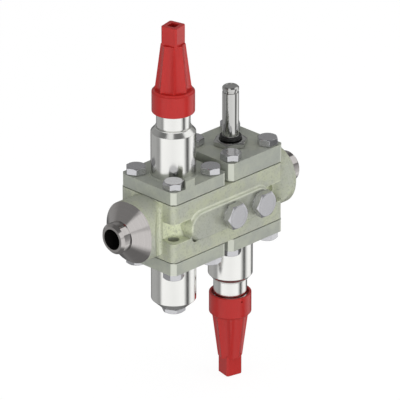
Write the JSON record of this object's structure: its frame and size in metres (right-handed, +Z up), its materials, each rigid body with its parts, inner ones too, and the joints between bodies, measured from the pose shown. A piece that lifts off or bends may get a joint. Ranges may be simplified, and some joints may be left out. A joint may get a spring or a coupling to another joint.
{
  "type": "refrigeration valve station",
  "caption": "Cast refrigerant line station between weld ends: stop valves with red seal caps, a solenoid valve without its coil, and a strainer.",
  "frame": {"origin": "centre of the inlet weld face, at the mouth of the inlet bore", "axes": "+X along the flow from the inlet to the outlet, +Z up towards the upper stop valve and the solenoid valve, -Y the side of the service ports"},
  "size_m": [0.2126, 0.0753, 0.343],
  "materials": {
    "casting": "cast surface, yellow-green passivated zinc, machined bare at the ends",
    "cover": "grey-green passivated zinc, satin",
    "stainless": "turned stainless steel, polished",
    "zinc": "zinc plated, satin",
    "cap_red": "red, satin",
    "rubber": "black, matt",
    "brass": "plain",
    "ptfe": "white, matt",
    "fibre": "grey fibre sheet, matt"
  },
  "bodies": {
    "station": {"valve_body": "casting", "center_port_plug": "zinc", "center_port_washer": "zinc", "right_port_plug": "zinc", "right_port_washer": "zinc", "upper_stop_cover": "cover", "upper_stop_gasket": "fibre", "upper_stop_bolts": "zinc", "upper_bonnet": "stainless", "upper_packing": "ptfe", "upper_gland_nut": "stainless", "lower_stop_cover": "cover", "lower_stop_gasket": "fibre", "lower_stop_bolts": "zinc", "lower_bonnet": "stainless", "lower_packing": "ptfe", "lower_gland_nut": "stainless", "solenoid_cover": "cover", "solenoid_gasket": "fibre", "solenoid_bolts": "zinc", "armature_tube": "stainless", "coil_ring": "rubber", "armature_spring": "zinc", "piston_guide": "brass", "piston_spring": "zinc", "filter_cover": "cover", "filter_gasket": "fibre", "filter_bolts": "zinc", "filter_housing": "stainless", "strainer": "stainless", "drain_plug": "zinc", "drain_washer": "zinc"},
    "upper_cap_ring": {"upper_cap_ring": "rubber"},
    "upper_cap": {"upper_seal_cap": "cap_red"},
    "upper_cone": {"upper_stop_cone": "stainless", "upper_seat_ring": "ptfe"},
    "upper_spindle": {"upper_spindle": "stainless"},
    "lower_cap_ring": {"lower_cap_ring": "rubber"},
    "lower_cap": {"lower_seal_cap": "cap_red"},
    "lower_cone": {"lower_stop_cone": "stainless", "lower_seat_ring": "ptfe"},
    "lower_spindle": {"lower_spindle": "stainless"},
    "armature": {"armature": "stainless"},
    "piston": {"main_piston": "stainless", "piston_seat_ring": "ptfe"}
  },
  "joints": [
    {"name": "upper_cap_lift", "type": "slide", "parent": "station", "child": "upper_cap_ring", "axis": [0, 0, 1], "range_m": [0, 0.008]},
    {"name": "upper_cap_turn", "type": "hinge", "parent": "upper_cap_ring", "child": "upper_cap", "pos_m": [0.0723, 0, 0.026], "axis": [0, 0, 1], "range_deg": [0, 1440]},
    {"name": "upper_valve_lift", "type": "slide", "parent": "station", "child": "upper_cone", "axis": [0, 0, 1], "range_m": [0, 0.006]},
    {"name": "upper_spindle_turn", "type": "hinge", "parent": "upper_cone", "child": "upper_spindle", "pos_m": [0.0723, 0, 0.026], "axis": [0, 0, 1], "range_deg": [0, 1080]},
    {"name": "lower_cap_lift", "type": "slide", "parent": "station", "child": "lower_cap_ring", "axis": [0, 0, -1], "range_m": [0, 0.008]},
    {"name": "lower_cap_turn", "type": "hinge", "parent": "lower_cap_ring", "child": "lower_cap", "pos_m": [0.1403, 0, -0.026], "axis": [0, 0, -1], "range_deg": [0, 1440]},
    {"name": "lower_valve_lift", "type": "slide", "parent": "station", "child": "lower_cone", "axis": [0, 0, -1], "range_m": [0, 0.006]},
    {"name": "lower_spindle_turn", "type": "hinge", "parent": "lower_cone", "child": "lower_spindle", "pos_m": [0.1403, 0, -0.026], "axis": [0, 0, -1], "range_deg": [0, 1080]},
    {"name": "armature_lift", "type": "slide", "parent": "station", "child": "armature", "axis": [0, 0, 1], "range_m": [0, 0.0025], "stiffness_N_per_m": 200, "springref_m": -0.004, "deforming": ["armature_spring"]},
    {"name": "piston_lift", "type": "slide", "parent": "station", "child": "piston", "axis": [0, 0, 1], "range_m": [0, 0.004], "stiffness_N_per_m": 600, "springref_m": -0.005, "deforming": ["piston_spring"]}
  ],
  "couplings": [
    {"joint": "upper_cap_turn", "follows": "upper_cap_lift", "rad_per_m": 3141.6},
    {"joint": "upper_spindle_turn", "follows": "upper_valve_lift", "rad_per_m": 3141.6},
    {"joint": "lower_cap_turn", "follows": "lower_cap_lift", "rad_per_m": 3141.6},
    {"joint": "lower_spindle_turn", "follows": "lower_valve_lift", "rad_per_m": 3141.6}
  ]
}
